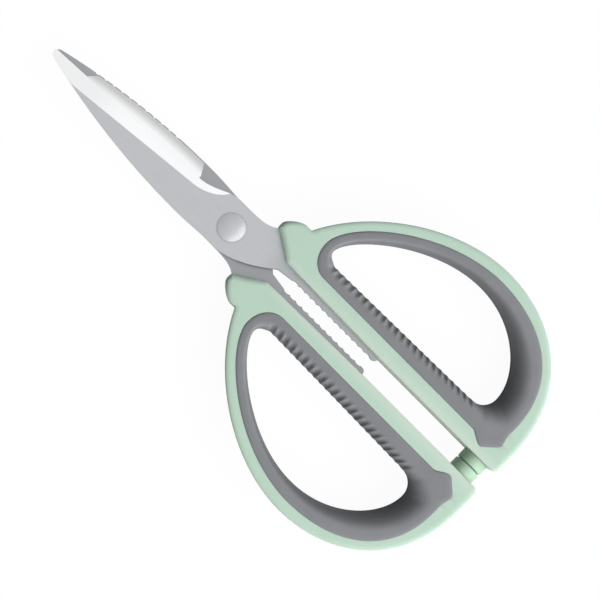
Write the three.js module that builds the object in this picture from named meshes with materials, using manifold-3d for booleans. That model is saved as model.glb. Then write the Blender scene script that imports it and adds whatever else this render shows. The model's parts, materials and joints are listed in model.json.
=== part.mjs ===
// Household scissors: two riveted steel blades, each with a moulded handle frame, a soft grip lining
// in its finger loop and a stop peg. Millimetres. In one half x runs from the pivot back to the handle,
// y from the centre line out to that half's finger loop, and z up from the plane where the blades meet.

import * as THREE from 'three';
import { mergeVertices } from 'three/addons/utils/BufferGeometryUtils.js';
import Module from 'manifold-3d';

const wasm = await Module();
wasm.setup();

// Blade ahead of the pivot
const BLADE_REACH = 82.2; // pivot to tip
const BLADE_THICKNESS = 2.2;
const BLADE_GAP = 0.3; // between the two inner faces
const SPINE_HALF_WIDTH = 9.15; // centre line to spine at the widest place
const SPINE_CREST = 18; // pivot forward to the widest place
const SPINE_AT_TIP = 1.6; // centre line to spine at the tip
const SPINE_BLEND = 7.2; // pull of the curve from the widest place to the waist
const WAIST_HALF_WIDTH = 8.45; // centre line to either side at the pivot
const TIP_BLUNT = 0.9; // length of the blunted corner at the tip
const EDGE_AT_TIP = 0.8; // centre line to cutting edge
const EDGE_AT_HEEL = 4.1;
const HEEL_AHEAD = 19; // pivot forward to the end of the straight edge
const HEEL_CURVE = 15; // length of the curve from there to the waist
const HEEL_BLEND = 6; // pull of that curve at the heel
const HEEL_WAIST_BLEND = 5; // and at the waist
const EDGE_LAND = 0.35; // steel left at the cutting edge
const GRIND_AT_TIP = 6.1; // width of the ground bevel
const GRIND_AT_HEEL = 2.85;
const GRIND_END = 8.1; // pivot forward to where the bevel runs out
const GRIND_BLEND = 5.4; // pull of the run-out where it leaves the straight bevel
const GRIND_END_BLEND = 3; // and where it meets the edge
const GRIND_END_RISE = 66; // degrees
const SCALER_AHEAD = 31; // pivot forward to the first notch in the back blade's spine
const SCALER_PITCH = 3.3;
const SCALER_COUNT = 11;
const SCALER_DEPTH = 0.3;

// Blade behind the pivot
const SLOT_START = 20.4; // pivot back to the front end of the slot between the handles
const SLOT_START_HALF = 1; // half the slot's width there
const CROSSING_BLEND = 8; // pull of the curve from the waist to the slot
const CROSSING_END_BLEND = 6.4;
const CROSSING_RISE = 40; // degrees, where the curve meets the slot
const FLARE_BLEND = 5.3; // pull of the curve from the waist to the ear
const FLARE_END_BLEND = 3;
const FLARE_RISE = 42; // degrees, where the curve meets the ear
const TEETH_START = 26.3; // pivot back to the first tooth
const TOOTH_PITCH = 2.76;
const TOOTH_COUNT = 13;
const TOOTH_DEPTH = 0.5;
const TOOTH_GAP = 3.7; // between the tips of facing teeth
const TANG_TAIL = 2.2; // plain steel behind the last tooth
const TANG_EMBED = 3; // tang hidden in the bar
const TANG_SHOULDER = 5.9; // hidden width at the ear
const TANG_SHOULDER_BACK = 6; // front of the ear back to that place
const ANCHOR_RADIUS = 1.6; // hole in the tang that locks the moulding

// Handle frame
const HANDLE_THICKNESS = 12;
const EDGE_ROUND = 1.2;
const SLOT_GAP = 7.7; // between the two handles
const BAR_WIDTH = 5.35; // straight bar beside the slot
const RIM_CREST = 3.85; // frame outside the grip lining
const RIM_BACK = 4.75;
const END_ROUND = 2.6; // corner at the end of the bar
const CROTCH = 20.7; // pivot back to where the frame's front edge meets the slot
const CROTCH_HALF = 4.5;
const EAR_FRONT = 10.6; // pivot back to the front of the ear
const EAR_TIP = 10.8; // centre line out to the ear's tip
const EAR_TOP = 17.55; // centre line out to the top of the ear
const EAR_LENGTH = 8.6; // front of the ear to the notch behind it
const EAR_FLAT = 2.1; // straight top of the ear ahead of the notch
const EAR_NOSE = 1.9; // ear's tip out to where its front begins to round
const EAR_CHIN = 0.7; // blunted corner at the ear's tip
const BOW_RISE = 64.4; // degrees, where the bow leaves the notch
const BOW_BLEND = 21.4; // pull of the bow at the notch

// Grip lining and finger hole
const HOLE_FRONT = 29.2; // pivot back to the finger hole
const HOLE_LENGTH = 72.5;
const HOLE_HEIGHT = 29.5;
const HOLE_FLARE = 1.1; // the straight side leans out by this towards the back
const HOLE_CREST = 43.1; // front of the hole back to its highest place
const HOLE_FRONT_CORNER = 5.3;
const HOLE_BACK_CORNER = 5.7;
const HOLE_FRONT_RISE = 3.3; // straight side out to the foremost place
const HOLE_BACK_RISE = 6.95;
const GRIP_FRONT_WALL = 3.8;
const GRIP_CREST_WALL = 5.4;
const GRIP_BACK_WALL = 10.9;
const GRIP_BAR_WALL = 5.95;
const GRIP_CREST_SHIFT = 3; // lining's outer crest behind the hole's
const GRIP_FRONT_CORNER = 7.6;
const GRIP_FRONT_RISE = 8.9;
const GRIP_BACK_RISE = 7.2;
const GRIP_SINK = 0.4; // lining below the frame's faces
const GRIP_ROUND_FRONT = 2.4; // width of the rounded inner edge
const GRIP_ROUND_CREST = 3.4;
const GRIP_ROUND_BACK = 6;
const GRIP_ROUND_BAR = 2.6;
const TAB_DEPTH = 2.4; // the lining's tab into the end of the bar
const TAB_TOP = 0.8;
const TAB_FRONT_RAMP = 4.4;
const TAB_BACK_RAMP = 4.4;
const TAB_BACK_RISE = 1.3; // bar out to the end of that ramp
const TAB_CORNER = 2.6; // bar out to the end of the blunted corner behind the tab
const TAB_FROM_BACK = 5.8; // back of the lining to the middle of the tab
const RIB_PITCH = 2.76;
const RIB_DEPTH = 0.55;
const LUG_LENGTH = 6; // lugs that key the lining into the frame
const LUG_DEPTH = 1.5;
const LUG_HEIGHT = 3;

// Fullness of the loops' curves: how far each end pulls towards the corner that the curve rounds
const HOLE_PULL = { back: 0.45, crestBack: 0.58, crestFront: 0.5, front: 0.26 };
const HOLE_CORNER_PULL = { bar: 0.5, front: 0.6, back: 0.6 };
const LINING_PULL = { back: 0.68, crestBack: 0.55, crestFront: 0.49, front: 0.33 };
const LINING_CORNER_PULL = { bar: 0.6, front: 0.55 };
const BOW_PULL = { back: 0.7, crestBack: 0.49, crestFront: 0.405 };
const EAR_PULL = { top: 0.35, front: 0.3 };
const ROUND_PULL = 0.55; // a plain quarter circle
const ROUND_LIMIT = 0.8; // most of a wall that its rounded edge may take

// Stop pegs
const PEG_RADIUS = 4.8;
const PEG_FROM_END = 7; // end of the handle to the peg's middle
const PEG_CLEAR = 0.3; // between the two pegs when closed
const PEG_CHAMFER = 0.5;
const PEG_STEM_RADIUS = 2.8;
const SOCKET_WALL = 1; // frame left between the socket and the tab

// Pivot
const SHANK_RADIUS = 2.5;
const HEAD_RADIUS = 4.9;
const HEAD_RIM = 0.5;
const HEAD_DOME = 1.6;
const WASHER_RADIUS = 4.6;
const WASHER_THICKNESS = 0.8;
const TAIL_RADIUS = 3.6;
const TAIL_RIM = 0.4;
const TAIL_DOME = 1.1;

// Clearances and smoothness
const FIT = 0.3; // around moulded and pressed pieces
const SHANK_PLAY = 0.06; // radial, round the rivet's shank
const RIVET_SEAT = 0.2; // under the rivet's head, tail and washer
const ROUND_SIDES = 32;
const ROUND_STEPS = 2;
const CURVE_STEPS = 12;
const CORNER_STEPS = 4;
const RIB_STEPS = 4;
const LUG_STEPS = [3, 8]; // places of the lugs along each bow curve

const STEEL = new THREE.MeshStandardMaterial({ color: '#bcbdc2', metalness: 0.9, roughness: 0.35 });
const MINT = new THREE.MeshStandardMaterial({ color: '#b9d8c6', roughness: 0.55 });
const GREY = new THREE.MeshStandardMaterial({ color: '#8a8c90', roughness: 0.75 });

// Places that several pieces share
const bladeInner = BLADE_GAP / 2;
const bladeOuter = bladeInner + BLADE_THICKNESS;
const tangEnd = TEETH_START + TOOTH_PITCH * TOOTH_COUNT + TANG_TAIL;
const barInner = SLOT_GAP / 2;
const barOuter = barInner + BAR_WIDTH;
const holeInner = barOuter + GRIP_BAR_WALL;
const holeCrest = holeInner + HOLE_HEIGHT;
const holeBack = HOLE_FRONT + HOLE_LENGTH;
const gripFront = HOLE_FRONT - GRIP_FRONT_WALL;
const gripCrest = holeCrest + GRIP_CREST_WALL;
const gripBack = holeBack + GRIP_BACK_WALL;
const gripCrestBack = HOLE_FRONT + HOLE_CREST + GRIP_CREST_SHIFT;
const handleCrest = gripCrest + RIM_CREST;
const handleBack = gripBack + RIM_BACK;
const halfThickness = HANDLE_THICKNESS / 2;
const pegBack = handleBack - PEG_FROM_END;
const socketDepth = BAR_WIDTH - TAB_DEPTH - SOCKET_WALL;
const shoulderBack = EAR_FRONT + TANG_SHOULDER_BACK;
const shoulderHalf = between(EAR_TIP, CROTCH_HALF, TANG_SHOULDER_BACK / (CROTCH - EAR_FRONT));
const anchor = at(shoulderBack, shoulderHalf + TANG_SHOULDER / 2);

function at(x, y) {
  return new THREE.Vector2(x, y);
}

// A cubic curve without its first point, so that runs join into one loop.
function curve(start, startHandle, endHandle, end, steps) {
  return new THREE.CubicBezierCurve(start, startHandle, endHandle, end).getPoints(steps).slice(1);
}

// A curve that rounds the given corner, each end pulled towards it by a share.
function rounded(start, startPull, corner, endPull, end, steps) {
  return curve(start, start.clone().lerp(corner, startPull), end.clone().lerp(corner, endPull), end, steps);
}

function between(low, high, share) {
  return low + (high - low) * share;
}

function heading(degrees, length) {
  const angle = THREE.MathUtils.degToRad(degrees);
  return at(length * Math.cos(angle), length * Math.sin(angle));
}

function heightAt(points, x) {
  const next = points.findIndex((point) => point.x >= x);
  const after = points[Math.max(next, 1)];
  const before = points[Math.max(next, 1) - 1];
  return between(before.y, after.y, (x - before.x) / (after.x - before.x));
}

// Moves a counter-clockwise loop outwards.
function grown(loop, distance) {
  return loop.map((point, i) => {
    const before = loop[(i + loop.length - 1) % loop.length];
    const after = loop[(i + 1) % loop.length];
    const arriving = point.clone().sub(before).normalize();
    const leaving = after.clone().sub(point).normalize();
    const outward = at(arriving.y + leaving.y, -arriving.x - leaving.x).normalize();
    const miter = Math.sqrt((1 + arriving.dot(leaving)) / 2);
    return point.clone().addScaledVector(outward, distance / Math.max(miter, 0.5));
  });
}

function solidOf(geometry) {
  const bare = geometry.clone();
  bare.deleteAttribute('normal');
  bare.deleteAttribute('uv');
  const merged = mergeVertices(bare);
  const position = merged.getAttribute('position');
  const corners = [0, 1, 2].map(() => new THREE.Vector3());
  const triangles = [];
  let volume = 0;
  for (let i = 0; i < merged.index.count; i += 3) {
    const triangle = [0, 1, 2].map((j) => merged.index.getX(i + j));
    if (new Set(triangle).size === 3) {
      triangle.forEach((vertex, j) => corners[j].fromBufferAttribute(position, vertex));
      volume += corners[0].dot(corners[1].clone().cross(corners[2]));
      triangles.push(triangle);
    }
  }
  const facing = volume > 0 ? triangles : triangles.map((triangle) => triangle.reverse());
  const mesh = new wasm.Mesh({
    numProp: 3,
    vertProperties: new Float32Array(position.array),
    triVerts: new Uint32Array(facing.flat()),
  });
  return new wasm.Manifold(mesh);
}

function meshOf(name, solid, material) {
  const { numProp, vertProperties, triVerts } = solid.getMesh();
  const geometry = new THREE.BufferGeometry();
  geometry.setAttribute('position', new THREE.BufferAttribute(new Float32Array(vertProperties), numProp));
  geometry.setIndex(Array.from(triVerts));
  geometry.computeVertexNormals();
  const mesh = new THREE.Mesh(geometry, material);
  mesh.name = name;
  return mesh;
}

function prism(loop, low, high, round = 0) {
  const geometry = new THREE.ExtrudeGeometry(new THREE.Shape(loop), {
    depth: high - low - 2 * round,
    bevelEnabled: round > 0,
    bevelSize: round,
    bevelThickness: round,
    bevelOffset: -round,
    bevelSegments: ROUND_STEPS,
  });
  geometry.translate(0, 0, low + round);
  return solidOf(geometry);
}

function rod(middle, radius, low, high) {
  const geometry = new THREE.CylinderGeometry(radius, radius, high - low, ROUND_SIDES);
  geometry.rotateX(Math.PI / 2);
  geometry.translate(middle.x, middle.y, (low + high) / 2);
  return solidOf(geometry);
}

// Joins equal rings of points: a closed chain of rings, or a row of rings with flat ends.
function loft(rings, isChain) {
  const count = rings[0].length;
  const index = [];
  const runs = isChain ? rings.length : rings.length - 1;
  for (let i = 0; i < runs; i += 1) {
    const next = (i + 1) % rings.length;
    for (let j = 0; j < count; j += 1) {
      const beside = (j + 1) % count;
      index.push(i * count + j, next * count + j, next * count + beside);
      index.push(i * count + j, next * count + beside, i * count + beside);
    }
  }
  if (!isChain) {
    const last = (rings.length - 1) * count;
    for (let j = 1; j < count - 1; j += 1) {
      index.push(0, j, j + 1);
      index.push(last, last + j + 1, last + j);
    }
  }
  const geometry = new THREE.BufferGeometry().setFromPoints(rings.flat());
  geometry.setIndex(index);
  return solidOf(geometry);
}

// The cutting edge from tip to waist, on the side of the handle.
function cuttingEdge() {
  const tip = at(-BLADE_REACH, EDGE_AT_TIP);
  const heel = at(-HEEL_AHEAD, EDGE_AT_HEEL);
  const waist = at(HEEL_CURVE - HEEL_AHEAD, WAIST_HALF_WIDTH);
  const along = heel.clone().sub(tip).normalize();
  const heelHandle = heel.clone().addScaledVector(along, HEEL_BLEND);
  const waistHandle = at(waist.x - HEEL_WAIST_BLEND, waist.y);
  return [tip, heel, ...curve(heel, heelHandle, waistHandle, waist, CURVE_STEPS)];
}

// The line on the outer face where the ground bevel begins.
function grindLine(edge) {
  const start = at(-BLADE_REACH, EDGE_AT_TIP - GRIND_AT_TIP);
  const heel = at(-HEEL_AHEAD, EDGE_AT_HEEL - GRIND_AT_HEEL);
  const end = at(-GRIND_END, heightAt(edge, -GRIND_END));
  const along = heel.clone().sub(start).normalize();
  const heelHandle = heel.clone().addScaledVector(along, GRIND_BLEND);
  const endHandle = end.clone().sub(heading(GRIND_END_RISE, GRIND_END_BLEND));
  return [start, heel, ...curve(heel, heelHandle, endHandle, end, CURVE_STEPS)];
}

// The spine is an arc that is widest at its crest and narrows to the tip.
function spineAt(x) {
  const reach = BLADE_REACH - TIP_BLUNT - SPINE_CREST;
  const drop = SPINE_HALF_WIDTH - SPINE_AT_TIP;
  const radius = (reach ** 2 + drop ** 2) / (2 * drop);
  return radius - SPINE_HALF_WIDTH - Math.sqrt(radius ** 2 - (x + SPINE_CREST) ** 2);
}

// The spine from tip to waist, with shallow notches where the blade has a scaler.
function spine(hasScaler) {
  const start = TIP_BLUNT - BLADE_REACH;
  const points = [];
  for (let i = 0; i < CURVE_STEPS; i += 1) {
    const x = between(start, -SPINE_CREST, i / CURVE_STEPS);
    points.push(at(x, spineAt(x)));
  }
  const scalerFront = -SCALER_AHEAD - SCALER_PITCH * SCALER_COUNT;
  const plain = points.filter(({ x }) => !hasScaler || x < scalerFront || x > -SCALER_AHEAD);
  if (hasScaler) {
    for (let i = 0; i < SCALER_COUNT; i += 1) {
      const x = scalerFront + SCALER_PITCH * i;
      const bottom = x + SCALER_PITCH / 2;
      plain.push(at(x, spineAt(x)), at(bottom, spineAt(bottom) + SCALER_DEPTH));
    }
    plain.push(at(-SCALER_AHEAD, spineAt(-SCALER_AHEAD)));
    plain.sort((a, b) => a.x - b.x);
  }
  const crest = at(-SPINE_CREST, -SPINE_HALF_WIDTH);
  const waist = at(0, -WAIST_HALF_WIDTH);
  const crestHandle = at(crest.x + SPINE_BLEND, crest.y);
  const waistHandle = at(waist.x - SPINE_BLEND, waist.y);
  return [...plain, crest, ...curve(crest, crestHandle, waistHandle, waist, CORNER_STEPS)];
}

// The toothed edge beside the slot: hollows that meet in points.
function teeth() {
  const points = [];
  for (let i = 0; i < TOOTH_COUNT * RIB_STEPS; i += 1) {
    const share = (i % RIB_STEPS) / RIB_STEPS;
    const hollow = Math.sin(share * Math.PI) * TOOTH_DEPTH;
    points.push(at(TEETH_START + (TOOTH_PITCH * i) / RIB_STEPS, TOOTH_GAP / 2 + hollow));
  }
  return [...points, at(tangEnd - TANG_TAIL, TOOTH_GAP / 2)];
}

function bladeLoop(hasScaler) {
  const waist = at(0, -WAIST_HALF_WIDTH);
  const slot = at(SLOT_START, SLOT_START_HALF);
  const slotHandle = slot.clone().sub(heading(CROSSING_RISE, CROSSING_END_BLEND));
  const crossing = curve(waist, at(CROSSING_BLEND, waist.y), slotHandle, slot, CURVE_STEPS);
  const embed = barInner + TANG_EMBED;
  const tang = [
    at(tangEnd, TOOTH_GAP / 2),
    at(tangEnd, embed - TANG_TAIL),
    at(tangEnd - TANG_TAIL, embed),
    at(TEETH_START, embed + TANG_TAIL / 2),
    at(shoulderBack, shoulderHalf + TANG_SHOULDER),
  ];
  const flareEnd = at(EAR_FRONT + FIT, EAR_TIP);
  const side = at(0, WAIST_HALF_WIDTH);
  const flareHandle = flareEnd.clone().sub(heading(FLARE_RISE, FLARE_END_BLEND));
  const flare = curve(flareEnd, flareHandle, at(FLARE_BLEND, side.y), side, CORNER_STEPS);
  const edge = cuttingEdge().reverse();
  const blunt = at(-BLADE_REACH, 0);
  return [...spine(hasScaler), ...crossing, ...teeth(), ...tang, flareEnd, ...flare, ...edge, blunt];
}

// The stone that grinds the bevel: a ruled surface from the grind line down to the cutting edge.
function grindstone() {
  const edge = cuttingEdge();
  const steepest = (BLADE_THICKNESS - EDGE_LAND) / GRIND_AT_HEEL;
  const over = BLADE_THICKNESS;
  const line = grindLine(edge);
  const tip = at(line[0].x - over, line[0].y);
  const rings = [tip, ...line.slice(0, -1)].map((point) => {
    const width = heightAt(edge, Math.max(point.x, -BLADE_REACH)) - point.y;
    const slope = Math.min(steepest, (BLADE_THICKNESS - EDGE_LAND) / width);
    const low = point.y - over / 2;
    const high = point.y + width + over;
    return [
      new THREE.Vector3(point.x, low, bladeOuter + (slope * over) / 2),
      new THREE.Vector3(point.x, high, bladeOuter - slope * (width + over)),
      new THREE.Vector3(point.x, high, bladeOuter + 2 * over),
      new THREE.Vector3(point.x, low, bladeOuter + 2 * over),
    ];
  });
  return loft(rings, false);
}

function bladeSolid(hasScaler) {
  const hole = rod(at(0, 0), SHANK_RADIUS + SHANK_PLAY, 0, 2 * bladeOuter);
  const anchorHole = rod(anchor, ANCHOR_RADIUS, 0, 2 * bladeOuter);
  const blank = prism(bladeLoop(hasScaler), bladeInner, bladeOuter);
  return blank.subtract(grindstone()).subtract(hole).subtract(anchorHole);
}

function frameLoop() {
  const crotch = at(CROTCH, CROTCH_HALF);
  const cornerStart = at(handleBack - END_ROUND, barInner);
  const cornerEnd = at(handleBack, barInner + END_ROUND);
  const bowEnd = at(handleBack, barOuter + END_ROUND);
  const crest = at(gripCrestBack, handleCrest);
  const crestHandle = at(between(crest.x, EAR_FRONT + EAR_LENGTH, BOW_PULL.crestFront), crest.y);
  const notch = at(EAR_FRONT + EAR_LENGTH, EAR_TOP);
  const notchHandle = notch.clone().add(heading(BOW_RISE, BOW_BLEND));
  const earTop = at(notch.x - EAR_FLAT, EAR_TOP);
  const earFront = at(EAR_FRONT, EAR_TIP + EAR_NOSE);
  const earTip = at(EAR_FRONT, EAR_TIP);
  const chin = earTip.clone().addScaledVector(crotch.clone().sub(earTip).normalize(), EAR_CHIN);
  return [
    crotch,
    at(tangEnd, barInner),
    cornerStart,
    ...rounded(cornerStart, ROUND_PULL, at(handleBack, barInner), ROUND_PULL, cornerEnd, CORNER_STEPS),
    bowEnd,
    ...rounded(bowEnd, BOW_PULL.back, at(handleBack, handleCrest), BOW_PULL.crestBack, crest, CURVE_STEPS),
    ...curve(crest, crestHandle, notchHandle, notch, CURVE_STEPS),
    earTop,
    ...rounded(earTop, EAR_PULL.top, at(EAR_FRONT, EAR_TOP), EAR_PULL.front, earFront, CORNER_STEPS),
    at(EAR_FRONT, EAR_TIP + EAR_CHIN),
    chin,
  ];
}

// The two upper curves of a loop, back to crest and crest to front.
function bowRuns(back, crest, front, pull) {
  const backCorner = at(back.x, crest.y);
  const frontCorner = at(front.x, crest.y);
  return {
    bowBack: rounded(back, pull.back, backCorner, pull.crestBack, crest, CURVE_STEPS),
    bowFront: rounded(crest, pull.crestFront, frontCorner, pull.front, front, CURVE_STEPS),
  };
}

// The lining's tab, from the bar round to the back wall.
function tabRun() {
  const middle = gripBack - TAB_FROM_BACK;
  const low = barOuter - TAB_DEPTH;
  return [
    at(middle - TAB_TOP / 2 - TAB_FRONT_RAMP, barOuter),
    at(middle - TAB_TOP / 2, low),
    at(middle + TAB_TOP / 2, low),
    at(middle + TAB_TOP / 2 + TAB_BACK_RAMP, barOuter + TAB_BACK_RISE),
    at(gripBack, barOuter + TAB_CORNER),
    at(gripBack, between(barOuter + TAB_CORNER, barOuter + GRIP_BACK_RISE, 1 / 2)),
    at(gripBack, barOuter + GRIP_BACK_RISE),
  ];
}

// The finger hole and the lining's outer wall are matching runs of points, counter-clockwise.
function fingerHole() {
  const pull = HOLE_CORNER_PULL;
  const bar = at(HOLE_FRONT + HOLE_FRONT_CORNER, holeInner);
  const barBack = at(holeBack - HOLE_BACK_CORNER, holeInner + HOLE_FLARE);
  const front = at(HOLE_FRONT, holeInner + HOLE_FRONT_RISE);
  const back = at(holeBack, holeInner + HOLE_BACK_RISE);
  const crest = at(HOLE_FRONT + HOLE_CREST, holeCrest);
  const corner = at(back.x, barBack.y);
  return {
    bar,
    barBack,
    backCorner: [barBack, ...rounded(barBack, pull.bar, corner, pull.back, back, tabRun().length - 1)],
    ...bowRuns(back, crest, front, HOLE_PULL),
    frontCorner: rounded(front, pull.front, at(front.x, bar.y), pull.bar, bar, CORNER_STEPS),
  };
}

function liningWall() {
  const pull = LINING_CORNER_PULL;
  const bar = at(gripFront + GRIP_FRONT_CORNER, barOuter);
  const front = at(gripFront, barOuter + GRIP_FRONT_RISE);
  const back = at(gripBack, barOuter + GRIP_BACK_RISE);
  const crest = at(gripCrestBack, gripCrest);
  return {
    bar,
    barBack: tabRun()[0],
    backCorner: tabRun(),
    ...bowRuns(back, crest, front, LINING_PULL),
    frontCorner: rounded(front, pull.front, at(front.x, bar.y), pull.bar, bar, CORNER_STEPS),
  };
}

function loopOf({ backCorner, bowBack, bowFront, frontCorner }) {
  return [...backCorner, ...bowBack, ...bowFront, ...frontCorner];
}

// One slice through the lining, from its outer wall to its rounded edge in the finger hole.
function liningSlice(outer, inner, round, bump) {
  const half = halfThickness - GRIP_SINK;
  const inward = inner.clone().sub(outer);
  const wall = inward.length();
  inward.normalize();
  const flat = wall - Math.min(round, wall * ROUND_LIMIT);
  const slice = [new THREE.Vector3(outer.x, outer.y, -half), new THREE.Vector3(outer.x, outer.y, half)];
  for (let i = 0; i <= 2 * CORNER_STEPS; i += 1) {
    const turn = (i / CORNER_STEPS) * (Math.PI / 2);
    const reach = flat + (wall - flat + bump) * Math.sin(turn);
    const place = outer.clone().addScaledVector(inward, reach);
    slice.push(new THREE.Vector3(place.x, place.y, half * Math.cos(turn)));
  }
  return slice;
}

function liningSlices() {
  const hole = fingerHole();
  const wall = liningWall();
  const slices = [];
  const addRun = (run, roundStart, roundEnd) => {
    wall[run].forEach((outer, i) => {
      const round = between(roundStart, roundEnd, (i + 1) / wall[run].length);
      slices.push(liningSlice(outer, hole[run][i], round, 0));
    });
  };
  addRun('backCorner', GRIP_ROUND_BAR, GRIP_ROUND_BACK);
  addRun('bowBack', GRIP_ROUND_BACK, GRIP_ROUND_CREST);
  addRun('bowFront', GRIP_ROUND_CREST, GRIP_ROUND_FRONT);
  addRun('frontCorner', GRIP_ROUND_FRONT, GRIP_ROUND_BAR);
  const steps = Math.floor((hole.barBack.x - hole.bar.x) / RIB_PITCH) * RIB_STEPS;
  for (let i = 1; i < steps; i += 1) {
    const share = i / steps;
    const outer = wall.bar.clone().lerp(wall.barBack, share);
    const inner = hole.bar.clone().lerp(hole.barBack, share);
    const bump = Math.sqrt(Math.sin(((i % RIB_STEPS) / RIB_STEPS) * Math.PI)) * RIB_DEPTH;
    slices.push(liningSlice(outer, inner, GRIP_ROUND_BAR, bump));
  }
  return slices;
}

// Keys on the lining's outer wall; the frame's pockets are the same keys grown by a clearance.
function liningLugs(clearance) {
  const wall = liningWall();
  const places = [wall.bowBack, wall.bowFront].flatMap((run) =>
    LUG_STEPS.map((step) => [run[step - 1], run[step + 1]]),
  );
  return places.map(([start, end]) => {
    const depth = 2 * (LUG_DEPTH + clearance);
    const height = LUG_HEIGHT + 2 * clearance;
    const box = new THREE.BoxGeometry(LUG_LENGTH + 2 * clearance, depth, height);
    box.rotateZ(Math.atan2(end.y - start.y, end.x - start.x));
    box.translate((start.x + end.x) / 2, (start.y + end.y) / 2, 0);
    return solidOf(box);
  });
}

function frameSolid() {
  const outside = prism(frameLoop(), -halfThickness, halfThickness, EDGE_ROUND);
  const opening = prism(grown(loopOf(liningWall()), FIT), -HANDLE_THICKNESS, HANDLE_THICKNESS);
  const pocket = prism(grown(bladeLoop(false), FIT), bladeInner - FIT, bladeOuter + FIT);
  const post = rod(anchor, ANCHOR_RADIUS - FIT, bladeInner - 2 * FIT, bladeOuter + 2 * FIT);
  const socket = new THREE.CylinderGeometry(
    PEG_STEM_RADIUS + FIT,
    PEG_STEM_RADIUS + FIT,
    2 * socketDepth,
    ROUND_SIDES,
  );
  socket.translate(pegBack, barInner, 0);
  let solid = outside.subtract(opening).subtract(pocket).add(post).subtract(solidOf(socket));
  liningLugs(FIT).forEach((lug) => {
    solid = solid.subtract(lug);
  });
  return solid;
}

function liningSolid() {
  let solid = loft(liningSlices(), true);
  const hole = prism(grown(loopOf(fingerHole()), GRIP_ROUND_FRONT), -HANDLE_THICKNESS, HANDLE_THICKNESS);
  liningLugs(0).forEach((lug) => {
    solid = solid.add(lug.subtract(hole));
  });
  return solid;
}

function pegSolid() {
  const face = PEG_CLEAR / 2;
  const base = barInner - FIT;
  const stemEnd = barInner + socketDepth - FIT;
  const profile = [
    at(0, face),
    at(PEG_RADIUS - PEG_CHAMFER, face),
    at(PEG_RADIUS, face + PEG_CHAMFER),
    at(PEG_RADIUS, base),
    at(PEG_STEM_RADIUS, base),
    at(PEG_STEM_RADIUS, stemEnd),
    at(0, stemEnd),
  ];
  const geometry = new THREE.LatheGeometry(profile, ROUND_SIDES);
  geometry.translate(pegBack, 0, 0);
  return solidOf(geometry);
}

function dome(radius, base, height) {
  const points = [];
  for (let i = 0; i <= CORNER_STEPS; i += 1) {
    const turn = (i / CORNER_STEPS) * (Math.PI / 2);
    points.push(at(radius * Math.cos(turn), base + height * Math.sin(turn)));
  }
  return points;
}

function turnedAboutPivot(profile) {
  const geometry = new THREE.LatheGeometry(profile, ROUND_SIDES);
  geometry.rotateX(Math.PI / 2);
  return solidOf(geometry);
}

function rivetSolid() {
  const headSeat = bladeOuter + RIVET_SEAT;
  const tailSeat = -bladeOuter - WASHER_THICKNESS - 2 * RIVET_SEAT;
  return turnedAboutPivot([
    ...dome(TAIL_RADIUS, tailSeat - TAIL_RIM, -TAIL_DOME).reverse(),
    at(TAIL_RADIUS, tailSeat),
    at(SHANK_RADIUS, tailSeat),
    at(SHANK_RADIUS, headSeat),
    at(HEAD_RADIUS, headSeat),
    ...dome(HEAD_RADIUS, headSeat + HEAD_RIM, HEAD_DOME),
  ]);
}

function washerSolid() {
  const top = -bladeOuter - RIVET_SEAT;
  const bore = SHANK_RADIUS + SHANK_PLAY;
  return turnedAboutPivot([
    at(bore, top - WASHER_THICKNESS),
    at(WASHER_RADIUS, top - WASHER_THICKNESS),
    at(WASHER_RADIUS, top),
    at(bore, top),
    at(bore, top - WASHER_THICKNESS),
  ]);
}

function half(side, hasScaler) {
  const group = new THREE.Group();
  group.add(meshOf(`${side}_blade`, bladeSolid(hasScaler), STEEL));
  group.add(meshOf(`${side}_handle_frame`, frameSolid(), MINT));
  group.add(meshOf(`${side}_grip_lining`, liningSolid(), GREY));
  group.add(meshOf(`${side}_stop_peg`, pegSolid(), MINT));
  return group;
}

// The back half is a half turned over about the long axis.
const frontHalf = half('front', false);
const backHalf = half('back', true);
backHalf.rotation.x = Math.PI;

const scissors = new THREE.Group();
scissors.add(frontHalf, backHalf);
scissors.add(meshOf('pivot_rivet', rivetSolid(), STEEL));
scissors.add(meshOf('rivet_washer', washerSolid(), STEEL));
scissors.position.set((BLADE_REACH - handleBack) / 2, 0, halfThickness);

const part = new THREE.Group();
part.add(scissors);

export default part;
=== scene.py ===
import json
import math

import bpy
from mathutils import Matrix, Vector
from mathutils.geometry import delaunay_2d_cdt
from mathutils.kdtree import KDTree


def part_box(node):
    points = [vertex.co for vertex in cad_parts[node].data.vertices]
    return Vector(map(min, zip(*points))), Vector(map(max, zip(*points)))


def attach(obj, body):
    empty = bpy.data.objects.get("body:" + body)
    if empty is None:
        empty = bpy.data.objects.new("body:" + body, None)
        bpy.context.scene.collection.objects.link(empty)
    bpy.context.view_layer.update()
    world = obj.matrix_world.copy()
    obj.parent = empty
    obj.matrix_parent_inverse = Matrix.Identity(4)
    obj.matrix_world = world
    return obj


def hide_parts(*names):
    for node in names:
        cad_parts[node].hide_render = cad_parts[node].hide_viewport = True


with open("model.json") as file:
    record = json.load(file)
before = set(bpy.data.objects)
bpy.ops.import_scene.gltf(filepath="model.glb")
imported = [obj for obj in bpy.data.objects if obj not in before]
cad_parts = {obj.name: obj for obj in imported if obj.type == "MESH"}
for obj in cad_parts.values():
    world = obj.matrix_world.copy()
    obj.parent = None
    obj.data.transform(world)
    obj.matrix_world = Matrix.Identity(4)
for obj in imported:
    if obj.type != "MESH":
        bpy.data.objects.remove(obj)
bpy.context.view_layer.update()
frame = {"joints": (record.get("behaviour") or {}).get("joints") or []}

# Kitchen scissors. One half is modelled from the pivot: x back to the handle, y out to its finger loop,
# z up from the plane where the blades meet, in millimetres. The other half is that half turned over.

mm = 0.001
pivot = Vector(frame["joints"][0]["pos_m"])


def span(node):          # a CAD node's box, in millimetres from the pivot
    low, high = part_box(node)
    return (low - pivot) / mm, (high - pivot) / mm


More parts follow.
